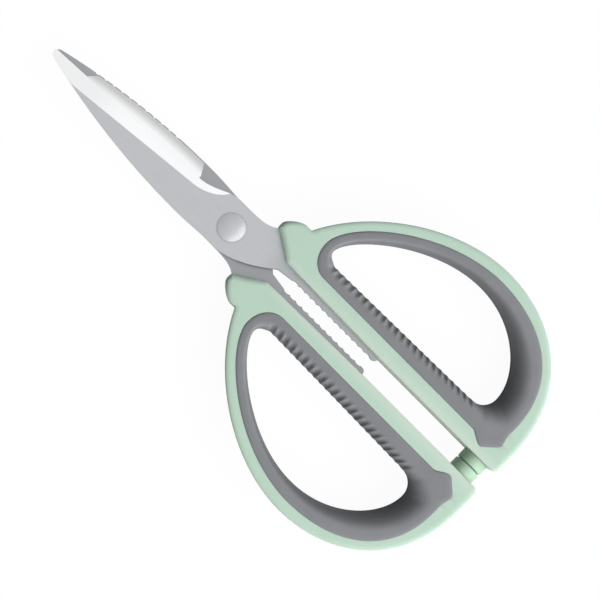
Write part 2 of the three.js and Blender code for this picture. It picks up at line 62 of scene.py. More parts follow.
bladeLow, bladeHigh = span("front_blade")
frameLow, frameHigh = span("front_handle_frame")
pegLow, pegHigh = span("front_stop_peg")
rivetHigh = span("pivot_rivet")[1]
washerLow, washerHigh = span("rivet_washer")
print("frame loaded, pivot at", [round(c, 6) for c in pivot])


# Making, selecting and modifying objects

def newObject(name, data):
    obj = bpy.data.objects.new(name, data)
    bpy.context.scene.collection.objects.link(obj)
    return obj


def only(obj):
    bpy.ops.object.select_all(action="DESELECT")
    obj.select_set(True)
    bpy.context.view_layer.objects.active = obj


def pickFaces(obj, test):        # opens edit mode with the faces that pass the test selected
    only(obj)
    mesh = obj.data
    mesh.vertices.foreach_set("select", [False] * len(mesh.vertices))
    mesh.edges.foreach_set("select", [False] * len(mesh.edges))
    mesh.polygons.foreach_set("select", [bool(test(face)) for face in mesh.polygons])
    bpy.ops.object.mode_set(mode="EDIT")
    bpy.ops.mesh.select_mode(type="FACE")


def pickAll(obj):
    only(obj)
    bpy.ops.object.mode_set(mode="EDIT")
    bpy.ops.mesh.select_all(action="SELECT")


def doneEditing():
    bpy.ops.object.mode_set(mode="OBJECT")


def modify(obj, kind, **settings):
    only(obj)
    modifier = obj.modifiers.new(kind.lower(), kind)
    for name, value in settings.items():
        setattr(modifier, name, value)
    bpy.ops.object.modifier_apply(modifier=modifier.name)


def cutAway(obj, cutter):        # faces left by the cutter keep the cutter's material
    modify(obj, "BOOLEAN", operation="DIFFERENCE", solver="EXACT", object=cutter, material_mode="TRANSFER")
    bpy.data.objects.remove(cutter)


def moveTo(obj, place):
    only(obj)
    obj.location = Vector(place) * mm
    bpy.ops.object.transform_apply()


def closeUp(obj):                # merges what touches and faces everything outwards
    pickAll(obj)
    bpy.ops.mesh.remove_doubles(threshold=1e-7)
    bpy.ops.mesh.normals_make_consistent(inside=False)
    doneEditing()


def smooth(obj, sharpFrom):      # soft shading that leaves flat faces flat and edges from this angle sharp
    only(obj)
    bpy.ops.object.shade_smooth_by_angle(angle=math.radians(sharpFrom))
    modify(obj, "WEIGHTED_NORMAL", keep_sharp=True, weight=100)


# Outlines: lists of knots that straight lines and curves join

def knot(at, inward=None, outward=None):     # no handle means a straight line on that side
    return {"at": Vector(at), "inward": inward, "outward": outward}


def towards(start, end, share):
    return Vector(start).lerp(Vector(end), share)


def heading(degrees, length):
    angle = math.radians(degrees)
    return Vector((length * math.cos(angle), length * math.sin(angle)))


blunting = 0.55                  # how far a blunted corner's curve leans into it: about a quarter circle


def corner(before, at, after, radius):       # a corner blunted by a short curve
    at = Vector(at)
    start = at + (Vector(before) - at).normalized() * radius
    end = at + (Vector(after) - at).normalized() * radius
    return [knot(start, None, towards(start, at, blunting)), knot(end, towards(end, at, blunting), None)]


def walk(knots, first, steps):               # points from one knot up to the next, without its end
    start = knots[first]
    end = knots[(first + 1) % len(knots)]
    pullOut = Vector(start["outward"] or towards(start["at"], end["at"], 1 / 3))
    pullIn = Vector(end["inward"] or towards(start["at"], end["at"], 2 / 3))
    points = []
    for i in range(steps):
        t = i / steps
        s = 1 - t
        points.append(s ** 3 * start["at"] + 3 * s * s * t * pullOut
                      + 3 * s * t * t * pullIn + t ** 3 * end["at"])
    return points


def slab(name, knots, low, high, steps, rounding=0.0, grow=0.0):     # gives an outline its thickness
    curve = bpy.data.curves.new(name, "CURVE")
    curve.dimensions = "2D"
    curve.fill_mode = "BOTH"
    curve.resolution_u = steps
    curve.extrude = ((high - low) / 2 - rounding) * mm
    curve.bevel_depth = rounding * mm
    curve.bevel_resolution = 2
    curve.offset = (grow - rounding) * mm
    spline = curve.splines.new("BEZIER")
    spline.bezier_points.add(len(knots) - 1)
    spline.use_cyclic_u = True
    for spot, place in zip(spline.bezier_points, knots):
        spot.co = (*(place["at"] * mm), 0)
        spot.handle_left_type = "FREE" if place["inward"] else "VECTOR"
        spot.handle_right_type = "FREE" if place["outward"] else "VECTOR"
        spot.handle_left = (*(Vector(place["inward"] or place["at"]) * mm), 0)
        spot.handle_right = (*(Vector(place["outward"] or place["at"]) * mm), 0)
    obj = newObject(name, curve)
    only(obj)
    bpy.ops.object.convert(target="MESH")
    closeUp(obj)
    pickFaces(obj, lambda face: abs(face.normal.z) > 0.999)
    bpy.ops.mesh.dissolve_faces()
    doneEditing()
    moveTo(obj, (0, 0, (low + high) / 2))
    return obj


def sheet(name, rings):          # a grid whose columns lie along these rings of points, one after another
    bpy.ops.mesh.primitive_grid_add(x_subdivisions=len(rings) - 1, y_subdivisions=len(rings[0]) - 1, size=1)
    obj = bpy.context.object
    obj.name = name
    ordered = sorted(obj.data.vertices, key=lambda v: (round(v.co.x, 5), round(v.co.y, 5)))
    for v, place in zip(ordered, [place for ring in rings for place in ring]):
        v.co = place * mm
    return obj


def trace(knots, steps, gap):    # the whole outline as points no further apart than the gap
    points = []
    for i in range(len(knots)):
        isStraight = not knots[i]["outward"] and not knots[(i + 1) % len(knots)]["inward"]
        points += walk(knots, i, 1 if isStraight else steps)
    spaced = []
    for i, point in enumerate(points):
        after = points[(i + 1) % len(points)]
        parts = math.ceil((after - point).length / gap)
        spaced += [towards(point, after, j / parts) for j in range(parts)]
    return spaced


def outwardsOf(points):          # the outward direction at each point of an outline
    outwards = []
    for i, point in enumerate(points):
        along = (points[(i + 1) % len(points)] - point).normalized() + (point - points[i - 1]).normalized()
        outwards.append(Vector((along.y, -along.x)).normalized())
    return outwards


# Materials

def paint(code):                 # sRGB hex to linear
    channels = [int(code[i:i + 2], 16) / 255 for i in (1, 3, 5)]
    return [((c + 0.055) / 1.055) ** 2.4 if c > 0.04045 else c / 12.92 for c in channels] + [1.0]


def addNode(tree, kind, inputs=None, **settings):
    node = tree.nodes.new(kind)
    for name, value in settings.items():
        setattr(node, name, value)
    for socket, value in (inputs or {}).items():
        if isinstance(value, bpy.types.NodeSocket):
            tree.links.new(value, node.inputs[socket])
        else:
            node.inputs[socket].default_value = value
    return node


def startMaterial(name):
    material = bpy.data.materials.new(name)
    material.use_nodes = True
    tree = material.node_tree
    shader = tree.nodes["Principled BSDF"]
    place = addNode(tree, "ShaderNodeTexCoord").outputs["Object"]
    return material, tree, shader, place


def perMm(size):                 # texture scale for a pattern of this size in millimetres
    return 1 / (size * mm)


def finishSurface(tree, shader, look, pattern, depth, colour):       # the pattern varies sheen and relief
    matt = addNode(tree, "ShaderNodeMapRange", {"Value": pattern, "To Min": look["gloss"],
                                               "To Max": look["matt"]})
    bump = addNode(tree, "ShaderNodeBump", {"Height": pattern, "Strength": look["relief"], "Distance": depth})
    tree.links.new(colour, shader.inputs["Base Color"])
    tree.links.new(matt.outputs["Result"], shader.inputs["Roughness"])
    tree.links.new(bump.outputs["Normal"], shader.inputs["Normal"])


def moulded(name, look):         # a moulded polymer: slight clouding and a fine spark-eroded grain
    material, tree, shader, place = startMaterial(name)
    cloud = addNode(tree, "ShaderNodeTexNoise", {"Vector": place, "Scale": perMm(look["cloud"]),
                                                "Detail": 3.0})
    grain = addNode(tree, "ShaderNodeTexNoise", {"Vector": place, "Scale": perMm(look["grain"]),
                                                "Detail": 2.0})
    tint = addNode(tree, "ShaderNodeMix", {"Factor": cloud.outputs["Fac"], "A": paint(look["dark"]),
                                          "B": paint(look["light"])}, data_type="RGBA")
    if "paintedHighlight" in look:         # painted highlight: lighter and warmer near the slot, fading away from it
        code, starts, ends = look["paintedHighlight"]
        across = addNode(tree, "ShaderNodeVectorMath", {0: place}, operation="ABSOLUTE")
        beside = addNode(tree, "ShaderNodeSeparateXYZ", {0: across.outputs[0]})
        highlightShare = addNode(tree, "ShaderNodeMapRange", {"Value": beside.outputs["Y"], "From Min": starts * mm,
                                                   "From Max": ends * mm, "To Min": 1.0, "To Max": 0.0})
        tint = addNode(tree, "ShaderNodeMix", {"Factor": highlightShare.outputs["Result"], "A": tint.outputs["Result"],
                                              "B": paint(code)}, data_type="RGBA")
    depth = look["grain"] * mm * 0.2         # a fifth as deep as wide
    finishSurface(tree, shader, look, grain.outputs["Fac"], depth, tint.outputs["Result"])
    shader.inputs["Specular IOR Level"].default_value = look["sheen"]
    return material


def steel(name, look):           # stainless steel with the marks of its last grinding or polishing
    material, tree, shader, place = startMaterial(name)
    stretch = addNode(tree, "ShaderNodeMapping", {
        "Vector": place, "Rotation": (0, 0, math.radians(look["lay"])),
        "Scale": (perMm(look["length"]), perMm(look["width"]), perMm(1))})
    marks = addNode(tree, "ShaderNodeTexNoise", {"Vector": stretch.outputs["Vector"], "Scale": 1.0,
                                                "Detail": 4.0, "Roughness": 0.6})
    tint = addNode(tree, "ShaderNodeMix", {"Factor": marks.outputs["Fac"], "A": paint(look["dark"]),
                                          "B": paint(look["light"])}, data_type="RGBA")
    value = 1.0
    # darker along the blade: on the satin tang this is painted shade from the handles; on the bevel and
    # hollow strip it greys them towards the tip
    if "darkerAlong" in look:          # along the blade, from one place to another, down to this share
        starts, ends, darkestShare = look["darkerAlong"]
        along = addNode(tree, "ShaderNodeSeparateXYZ", {0: place})
        value = addNode(tree, "ShaderNodeMapRange", {
            "Value": along.outputs["X"], "From Min": pivot.x + starts * mm, "From Max": pivot.x + ends * mm,
            "To Min": 1.0, "To Max": darkestShare}).outputs["Result"]
    # painted shade: darker towards a circle, which greys the hollow-ground strip towards the spine
    if "paintedShadeTowards" in look:          # towards a circle, between two distances inside it, down to this share
        centre, radius, begins, ends, shadedShare = look["paintedShadeTowards"]
        mirrored = addNode(tree, "ShaderNodeVectorMath", {0: place}, operation="ABSOLUTE")
        away = addNode(tree, "ShaderNodeVectorMath", {0: mirrored.outputs[0], 1: centre * mm},
                       operation="DISTANCE")
        spineShade = addNode(tree, "ShaderNodeMapRange", {
            "Value": away.outputs["Value"], "From Min": (radius - begins) * mm,
            "From Max": (radius - ends) * mm, "To Min": 1.0, "To Max": shadedShare})
        value = addNode(tree, "ShaderNodeMath", {0: value, 1: spineShade.outputs["Result"]},
                        operation="MULTIPLY").outputs[0]
    darkenedTint = addNode(tree, "ShaderNodeHueSaturation", {"Color": tint.outputs["Result"], "Value": value})
    depth = look["width"] * mm * 0.1         # a tenth as deep as wide
    finishSurface(tree, shader, look, marks.outputs["Fac"], depth, darkenedTint.outputs["Color"])
    shader.inputs["Metallic"].default_value = look["metallic"]
    return material


# Satin stainless: fine brush marks along the blade make an even pale grey without reflections. The tang
# between the handles is painted darker, as painted shade cast by the handle walls.
satinSteel = steel("satin_brushed_stainless_steel", {
    "dark": "#b5b7ba", "light": "#c5c7ca", "gloss": 0.34, "matt": 0.46, "lay": 0, "length": 14, "width": 0.22,
    "relief": 0.25, "metallic": 1.0, "darkerAlong": (14, 22, 0.87)})
# Surface ground stainless: the inner faces, greyer than the outer ones, partly for their ground finish and
# partly as painted shade beside and under the other blade and the handles
groundShadedSteel = steel("surface_ground_stainless_steel_painted_shade", {
    "dark": "#999b9f", "light": "#a5a7ab", "gloss": 0.3, "matt": 0.42, "lay": 90, "length": 9, "width": 0.25,
    "relief": 0.3, "metallic": 1.0})
# Polished bevel: cross-ground and buffed, so it mirrors the white round it, a little less near the tip
bevelSteel = steel("polished_bevel_stainless_steel", {
    "dark": "#f6f7f8", "light": "#fdfdfe", "gloss": 0.14, "matt": 0.24, "lay": 75, "length": 6, "width": 0.3,
    "relief": 0.12, "metallic": 1.0, "darkerAlong": (-50, -62, 0.9)})
# Turned and tumbled rivet: the stones frost it, so it partly scatters light and has a soft bright side
rivetSteel = steel("tumbled_rivet_stainless_steel", {
    "dark": "#bcbec1", "light": "#c4c6c9", "gloss": 0.34, "matt": 0.42, "lay": 0, "length": 3, "width": 0.6,
    "relief": 0.05, "metallic": 0.62})
# Satin ABS in mint: fine moulded grain, a soft broad sheen, and a painted highlight along the slot side
mintPlastic = moulded("moulded_mint_abs", {
    "dark": "#bdd8c6", "light": "#c5ddcd", "cloud": 9, "grain": 0.35, "gloss": 0.42, "matt": 0.54,
    "relief": 0.25, "sheen": 0.3, "paintedHighlight": ("#d0e0d2", 4, 7.6)})
# The pegs' ABS: the same grain, with painted shade making it deeper and yellower where they sit between the
# bars
shadedPegPlastic = moulded("moulded_mint_abs_pegs_painted_shade", {
    "dark": "#b2cfb6", "light": "#b9d4bc", "cloud": 9, "grain": 0.35, "gloss": 0.46, "matt": 0.58,
    "relief": 0.25, "sheen": 0.25})
# Thermoplastic rubber in grey: matt, with a coarser grain that scatters light
greyRubber = moulded("moulded_grey_thermoplastic_rubber", {
    "dark": "#86888b", "light": "#909295", "cloud": 7, "grain": 0.5, "gloss": 0.72, "matt": 0.85,
    "relief": 0.3, "sheen": 0.1})
print("materials ready")


# Blades

blade = {
    "edgeRound": 0.25,           # stamped edges, tumbled smooth
    "tipBlunt": 0.9, "tipRound": 1.1, "tipBackRound": 0.9, "edgeAtTip": 0.8, "edgeAtHeel": 4.1,
    "heelAhead": 19, "heelCurve": 15, "heelPull": 6, "heelWaistPull": 5, "waist": 8.45,
    "spineCrest": 18, "spineAtTip": 1.6, "spinePull": 7.2,
    "notchAhead": 31, "notchPitch": 3.3, "notchCount": 11, "notchWidth": 1.2, "notchDepth": 0.3,
    "slotStart": 20.4, "slotStartHalf": 1, "crossingPull": 8, "crossingEndPull": 6.4, "crossingRise": 40,
    "teethStart": 26.3, "toothPitch": 2.76, "toothCount": 13, "toothDepth": 0.43, "toothHalf": 1.85,
    "tangTail": 2.2, "tangEndRound": 1.4, "tangHidden": 6.85, "shoulderBack": 16.6, "shoulderHalf": 12.9,
    "flareEnd": (10.9, 10.8), "flarePull": 5.3, "flareEndPull": 3, "flareRise": 42,
    "holeRadius": 2.56, "holeSides": 64, "drillLength": 20, "curveSteps": 8, "sharpFrom": 15,
}
tangEnd = blade["teethStart"] + blade["toothPitch"] * blade["toothCount"] + blade["tangTail"]


def spineArc():                  # centre and radius of the spine, which is widest at its crest
    reach = -bladeLow.x - blade["tipBlunt"] - blade["spineCrest"]
    drop = -bladeLow.y - blade["spineAtTip"]
    radius = (reach ** 2 + drop ** 2) / (2 * drop)
    return Vector((-blade["spineCrest"], bladeLow.y + radius)), radius


def onSpine(x):
    centre, radius = spineArc()
    return Vector((x, centre.y - math.sqrt(radius ** 2 - (x - centre.x) ** 2)))


def spineKnots(stops):           # knots at these places along the spine, joined by its arc
    centre, radius = spineArc()
    angles = [math.asin((x - centre.x) / radius) for x in stops]
    knots = []
    for i, (x, angle) in enumerate(zip(stops, angles)):
        along = Vector((math.cos(angle), math.sin(angle)))
        before = abs(angle - angles[i - 1]) if i else 0
        after = abs(angles[i + 1] - angle) if i + 1 < len(stops) else 0
        at = onSpine(x)
        inward = at - along * radius * 4 / 3 * math.tan(before / 4) if before else None
        outward = at + along * radius * 4 / 3 * math.tan(after / 4) if after else None
        knots.append(knot(at, inward, outward))
    return knots


def hollow(start, end, depth):   # a scallop cut to the left of a line, as knots at its two ends
    start, end = Vector(start), Vector(end)
    along = end - start
    inside = Vector((-along.y, along.x)).normalized() * depth * 4 / 3
    return [knot(start, None, towards(start, end, 0.25) + inside),
            knot(end, towards(start, end, 0.75) + inside, None)]


def joinKnots(*runs):            # drops the doubled knot where one run ends and the next begins
    joined = []
    for run in runs:
        for place in run:
            if joined and (joined[-1]["at"] - place["at"]).length < 1e-6:
                joined[-1]["outward"] = place["outward"]
            else:
                joined.append(place)
    return joined


def bladeOutline(isNotched):
    tipX = bladeLow.x
    crestX = -blade["spineCrest"]
    start = tipX + blade["tipBlunt"]
    tipBack = onSpine(start)
    start += blade["tipBackRound"]
    spine = spineKnots([start, crestX])
    if isNotched:
        notchFront = -blade["notchAhead"] - blade["notchPitch"] * blade["notchCount"]
        spine = spineKnots([start, notchFront])
        for i in range(blade["notchCount"]):
            x = notchFront + blade["notchPitch"] * i
            notchEnd = x + blade["notchWidth"]
            spine = joinKnots(spine, hollow(onSpine(x), onSpine(notchEnd), blade["notchDepth"]))
        spine = joinKnots(spine, spineKnots([notchEnd, crestX]))
    waist = Vector((0, -blade["waist"]))
    slot = Vector((blade["slotStart"], blade["slotStartHalf"]))
    spine[-1]["outward"] = spine[-1]["at"] + Vector((blade["spinePull"], 0))
    crossing = [
        knot(waist, waist - Vector((blade["spinePull"], 0)), waist + Vector((blade["crossingPull"], 0))),
        knot(slot, slot - heading(blade["crossingRise"], blade["crossingEndPull"]), None),
    ]
    teeth = []
    for i in range(blade["toothCount"]):
        x = blade["teethStart"] + blade["toothPitch"] * i
        ends = [(x, blade["toothHalf"]), (x + blade["toothPitch"], blade["toothHalf"])]
        teeth = joinKnots(teeth, hollow(*ends, blade["toothDepth"]))
    endCorner = (tangEnd, blade["toothHalf"])
    hidden = (tangEnd, blade["tangHidden"] - blade["tangTail"])
    tang = corner(teeth[-1]["at"], endCorner, hidden, blade["tangEndRound"])
    tang += [knot(hidden), knot((tangEnd - blade["tangTail"], blade["tangHidden"]))]
    tang += [knot((blade["shoulderBack"], blade["shoulderHalf"]))]
    flareEnd = Vector(blade["flareEnd"])
    side = Vector((0, blade["waist"]))
    heelEnd = Vector((blade["heelCurve"] - blade["heelAhead"], blade["waist"]))
    heel = Vector((-blade["heelAhead"], blade["edgeAtHeel"]))
    tip = Vector((tipX, blade["edgeAtTip"]))
    along = (heel - tip).normalized()
    flare = [
        knot(flareEnd, None, flareEnd - heading(blade["flareRise"], blade["flareEndPull"])),
        knot(side, side + Vector((blade["flarePull"], 0)), None),
        knot(heelEnd, None, heelEnd - Vector((blade["heelWaistPull"], 0))),
        knot(heel, heel + along * blade["heelPull"], None),
    ]
    point = corner(heel, tip, tipBack, blade["tipRound"])
    point += corner(tip, tipBack, spine[0]["at"], blade["tipBackRound"])[:1]
    spine[0]["inward"] = towards(spine[0]["at"], tipBack, blunting)      # the spine ends this last corner
    return spine + crossing + teeth + tang + flare + point


grind = {
    "atTip": 6.1, "atHeel": 2.85, "end": 8.1, "pull": 5.4, "endPull": 3, "endRise": 66, "land": 0.35,
    "over": 3, "lift": 12, "narrowest": 0.01, "stations": 40, "straight": 24, "edgeSteps": 200,
}


def edgeHeight(x):               # how far out the cutting edge is
    tip = Vector((bladeLow.x, blade["edgeAtTip"]))
    heel = Vector((-blade["heelAhead"], blade["edgeAtHeel"]))
    if x <= heel.x:
        return towards(tip, heel, (x - tip.x) / (heel.x - tip.x)).y
    end = Vector((blade["heelCurve"] - blade["heelAhead"], blade["waist"]))
    run = [knot(heel, None, heel + (heel - tip).normalized() * blade["heelPull"]),
           knot(end, end - Vector((blade["heelWaistPull"], 0)), None)]
    points = walk(run, 0, grind["edgeSteps"]) + [end]
    after = next(i for i, point in enumerate(points) if point.x >= x)
    before = max(after - 1, 0)
    gap = points[after].x - points[before].x
    return towards(points[before], points[after], (x - points[before].x) / gap if gap else 0).y


def grindLine():                 # where the bevel begins on the outer face, tip to run-out
    start = Vector((bladeLow.x, blade["edgeAtTip"] - grind["atTip"]))
    heel = Vector((-blade["heelAhead"], blade["edgeAtHeel"] - grind["atHeel"]))
    end = Vector((-grind["end"], edgeHeight(-grind["end"])))
    along = (heel - start).normalized()
    run = [knot(heel, None, heel + along * grind["pull"]),
           knot(end, end - heading(grind["endRise"], grind["endPull"]), None)]
    straight = [towards(start, heel, i / grind["straight"]) for i in range(grind["straight"])]
    return [start - along * grind["over"]] + straight + walk(run, 0, grind["stations"])


def grindstone():                # the wheel's sweep, from the grind line down to the cutting edge
    thickness = bladeHigh.z - bladeLow.z
    steepest = (thickness - grind["land"]) / grind["atHeel"]
    rings = []
    for point in grindLine():
        width = edgeHeight(max(point.x, bladeLow.x)) - point.y
        slope = min(steepest, (thickness - grind["land"]) / max(width, grind["narrowest"]))
        reaches = (-grind["over"], 0, width + grind["over"])
        rings.append([Vector((point.x, point.y + reach, bladeHigh.z - slope * reach)) for reach in reaches])
    stone = sheet("grindstone", rings)
    pickAll(stone)
    bpy.ops.mesh.extrude_region_move(TRANSFORM_OT_translate={"value": (0, 0, grind["lift"] * mm)})
    doneEditing()
    closeUp(stone)
    stone.data.materials.append(bevelSteel)
    return stone


# Hollow-ground strip: polished at the cutting edge, with painted shade greying it towards the spine
spineCentre, spineRadius = spineArc()
mirroredCentre = Vector((-pivot.x / mm - spineCentre.x, -spineCentre.y, pivot.z / mm))  # serves both blades
hollowSteel = steel("hollow_ground_stainless_steel", {
    "dark": "#f4f5f6", "light": "#fbfbfc", "gloss": 0.2, "matt": 0.3, "lay": 75, "length": 6, "width": 0.3,
    "relief": 0.12, "metallic": 1.0, "darkerAlong": (-40, -80, 0.95),
    "paintedShadeTowards": (mirroredCentre, spineRadius, 4, 1.3, 0.62)})
hollowGrind = {
    "depth": 0.1, "land": 0.42, "tipStart": (-68.5, -1.6), "tipEnd": -65.9,
    "heelStart": (-19.2, -5), "heelEnd": -21.4, "over": 6, "under": 1, "curveSteps": 32,
}


def hollowWheel():               # takes a shallow hollow out of the inner face, up to a land at the spine
    size = hollowGrind
    inner = bladeLow.z
    rim = spineKnots([size["tipEnd"], size["heelEnd"]])
    for place in rim:
        for spot in ("at", "inward", "outward"):
            place[spot] = place[spot] and place[spot] + Vector((0, size["land"]))
    spots = [size["heelStart"], (size["heelStart"][0], size["over"]), (size["tipStart"][0], size["over"]),
             size["tipStart"]]
    outline = rim + [knot(spot) for spot in spots]
    wheel = slab("hollow_wheel", outline, inner - size["under"], inner + size["depth"], size["curveSteps"])
    wheel.data.materials.append(hollowSteel)
    return wheel


def makeBlade(name, isNotched):
    outline = bladeOutline(isNotched)
    obj = slab(name, outline, bladeLow.z, bladeHigh.z, blade["curveSteps"], blade["edgeRound"])
    obj.data.materials.append(satinSteel)
    cutAway(obj, grindstone())
    cutAway(obj, hollowWheel())
    bpy.ops.mesh.primitive_cylinder_add(vertices=blade["holeSides"], radius=blade["holeRadius"] * mm,
                                        depth=blade["drillLength"] * mm)
    drill = bpy.context.object
    drill.data.materials.append(groundShadedSteel)
    cutAway(obj, drill)
    inner = obj.data.materials.find(groundShadedSteel.name)
    for face in obj.data.polygons:
        if face.material_index == 0 and face.normal.z < -0.5:
            face.material_index = inner
    smooth(obj, blade["sharpFrom"])
    return obj


# Handle frames

handle = {
    "barWidth": 5.35, "endRound": 2.8, "endCorner": 1.8, "crotch": (20.7, 4.5),
    "earFront": 10.6, "earTip": 10.8, "earTop": 17.55, "earLength": 8.6, "earFlat": 2.1, "earNose": 1.9,
    "earChin": 0.7, "earTopPull": 0.35, "earFrontPull": 0.3,
    "bowRise": 64.4, "bowPull": 21.4, "backPull": 0.7, "crestBackPull": 0.49, "crestFrontPull": 0.405,
    "rimCrest": 3.85, "rimBack": 4.75, "rimRound": 0.12, "pocketGap": 0.04,
    "edgeWidth": 1.7, "edgeDrop": 0.5,
    "earWidth": 2.2, "earDrop": 1.7, "earFrom": 25, "earTo": 14, "earRise": 4,
    "edgeRows": (0, 12, 24, 36, 50, 65, 80, 90), "rimRows": (0, 30, 60, 90),        # degrees up the round
    "spacing": 0.7, "outerSteps": 24, "openingSteps": 48, "rowSlack": 0.01,
    "partingHalf": 0.3, "partingProud": 0.05, "sharpFrom": 40,
}
barInner = frameLow.y
barOuter = barInner + handle["barWidth"]
handleBack = frameHigh.x
handleCrest = frameHigh.y

lining = {
    "frontWall": 3.8, "backWall": 10.9, "barWall": 5.95, "crestShift": 3,
    "frontCorner": 7.6, "frontRise": 8.9, "backRise": 7.2, "backLean": 1.2,
    "tabDepth": 2.4, "tabTop": 1.3, "tabFrontRamp": 4.15, "tabBackRamp": 4.15, "tabBackRise": 1.3,
    "tabCorner": 2.5, "tabFromBack": 5.45, "tabRound": 0.6, "tabOver": 0.2, "neckIn": 0.78, "neckRise": 6.2,
    "backPull": 0.68, "crestBackPull": 0.55, "crestFrontPull": 0.49, "frontPull": 0.33,
    "cornerBarPull": 0.6, "cornerFrontPull": 0.55,
    "proud": 0.3, "rollWidth": 2.2, "rollDrop": 0.34,
    "ribPitch": 2.76, "ribDepth": 0.68, "ribRun": 0.3, "ribFoot": 0.22, "ribsAhead": 1, "ribNarrow": 0.7,
    "ribSteps": 10, "tabSteps": 4, "curveSteps": 48,
    "rollSteps": 6, "flatSteps": 5, "lipSteps": 12, "wallSteps": 4,
    "lipMost": 0.85, "rollMost": 0.6,            # of the wall, and of its flat top, where they are narrow
}
lips = {         # the rounded lip's run, the drafted share of it, how round that is, and its lower end
    "front": {"run": 1.3, "draft": 0.25, "soft": 0.22, "land": 0.6},
    "crest": {"run": 2.8, "draft": 0.54, "soft": 0.3, "land": 0.6},
    "back": {"run": 9.2, "draft": 0.5, "soft": 0.92, "land": 0.5},
    "bar": {"run": 3.6, "draft": 0.14, "soft": 0.85, "land": 1.6},
}
hole = {
    "length": 72.5, "height": 29.5, "ease": 0.1, "flare": 1.1, "crest": 43.1,
    "frontCorner": 5.3, "backCorner": 5.7, "frontRise": 3.3, "backRise": 6.95,
    "backPull": 0.45, "crestBackPull": 0.58, "crestFrontPull": 0.5, "frontPull": 0.26,
    "cornerBarPull": 0.5, "cornerFrontPull": 0.6, "cornerBackPull": 0.6,
}
gripBack = handleBack - handle["rimBack"]
gripCrest = handleCrest - handle["rimCrest"]
holeBack = gripBack - lining["backWall"]
holeFront = holeBack - hole["length"]
holeInner = barOuter + lining["barWall"]
gripFront = holeFront - lining["frontWall"]
crestBack = holeFront + hole["crest"] + lining["crestShift"]


def handleOutline():
    crotch = Vector(handle["crotch"])
    notch = Vector((handle["earFront"] + handle["earLength"], handle["earTop"]))
    crest = Vector((crestBack, handleCrest))
    bowEnd = Vector((handleBack, barOuter + handle["endRound"]))
    bowCorner = Vector((handleBack, handleCrest))
    earCorner = Vector((handle["earFront"], handle["earTop"]))
    earTop = notch - Vector((handle["earFlat"], 0))
    earFront = Vector((handle["earFront"], handle["earTip"] + handle["earNose"]))
    earTip = Vector((handle["earFront"], handle["earTip"]))
    crestFront = Vector((crest.x + (notch.x - crest.x) * handle["crestFrontPull"], crest.y))
    return [
        knot(crotch),
        knot((tangEnd, barInner)),
        *corner((tangEnd, barInner), (handleBack, barInner), bowEnd, handle["endCorner"]),
        knot(bowEnd, None, towards(bowEnd, bowCorner, handle["backPull"])),
        knot(crest, towards(crest, bowCorner, handle["crestBackPull"]), crestFront),
        knot(notch, notch + heading(handle["bowRise"], handle["bowPull"]), None),
        knot(earTop, None, towards(earTop, earCorner, handle["earTopPull"])),
        knot(earFront, towards(earFront, earCorner, handle["earFrontPull"]), None),
        *corner(earFront, earTip, crotch, handle["earChin"]),
    ]


def tabKnots():                  # the lining's tab into the end of the bar
    middle = gripBack - lining["tabFromBack"]
    low = barOuter - lining["tabDepth"]
    spots = [
        (middle - lining["tabTop"] / 2 - lining["tabFrontRamp"], barOuter),
        (middle - lining["tabTop"] / 2, low),
        (middle + lining["tabTop"] / 2, low),
        (middle + lining["tabTop"] / 2 + lining["tabBackRamp"], barOuter + lining["tabBackRise"]),
        (gripBack + lining["tabOver"], barOuter + lining["tabCorner"]),
        (gripBack - lining["neckIn"], barOuter + lining["neckRise"]),
        (gripBack - lining["neckIn"], barOuter + lining["backRise"]),
    ]
    before = (gripFront + lining["frontCorner"], barOuter)
    knots = []
    for i, spot in enumerate(spots[:-1]):
        knots += corner(before, spot, spots[i + 1], lining["tabRound"])
        before = spot
    return knots


def liningOutline():
    bar = Vector((gripFront + lining["frontCorner"], barOuter))
    front = Vector((gripFront, barOuter + lining["frontRise"]))
    back = Vector((gripBack - lining["neckIn"], barOuter + lining["backRise"]))
    crest = Vector((crestBack, gripCrest))
    backCorner, frontCorner = Vector((gripBack, crest.y)), Vector((front.x, crest.y))
    barCorner = Vector((front.x, bar.y))
    lean = Vector((lining["backLean"], 0))
    return [
        knot(bar, towards(bar, barCorner, lining["cornerBarPull"]), None),
        *tabKnots(),
        knot(back, None, towards(back, backCorner + lean, lining["backPull"])),
        knot(crest, towards(crest, backCorner, lining["crestBackPull"]),
             towards(crest, frontCorner, lining["crestFrontPull"])),
        knot(front, towards(front, frontCorner, lining["frontPull"]),
             towards(front, barCorner, lining["cornerFrontPull"])),
    ]


def holeOutline():
    ease = hole["ease"]          # the lips sit a little back from the smallest opening
    bar = Vector((holeFront + hole["frontCorner"], holeInner - ease))
    barBack = Vector((holeBack - hole["backCorner"], holeInner + hole["flare"] - ease))
    front = Vector((holeFront - ease, holeInner + hole["frontRise"]))
    back = Vector((holeBack + ease, holeInner + hole["backRise"]))
    crest = Vector((holeFront + hole["crest"], holeInner + hole["height"] + ease))
    barCorner, tabCorner = Vector((front.x, bar.y)), Vector((back.x, barBack.y))
    backCorner, frontCorner = Vector((back.x, crest.y)), Vector((front.x, crest.y))
    return [
        knot(bar, towards(bar, barCorner, hole["cornerBarPull"]), None),
        knot(barBack, None, towards(barBack, tabCorner, hole["cornerBarPull"])),
        knot(back, towards(back, tabCorner, hole["cornerBackPull"]),
             towards(back, backCorner, hole["backPull"])),
        knot(crest, towards(crest, backCorner, hole["crestBackPull"]),
             towards(crest, frontCorner, hole["crestFrontPull"])),
        knot(front, towards(front, frontCorner, hole["frontPull"]),
             towards(front, barCorner, hole["cornerFrontPull"])),
    ]


def edgeAt(point):               # width and drop of the rolled edge, which is fuller at the front of the ear
    ahead = (handle["earFrom"] - point.x) / (handle["earFrom"] - handle["earTo"])
    below = (handle["earTop"] - point.y) / handle["earRise"]
    share = min(max(ahead, 0), 1) * min(max(below, 0), 1)
    return (handle["edgeWidth"] + share * (handle["earWidth"] - handle["edgeWidth"]),
            handle["edgeDrop"] + share * (handle["earDrop"] - handle["edgeDrop"]))


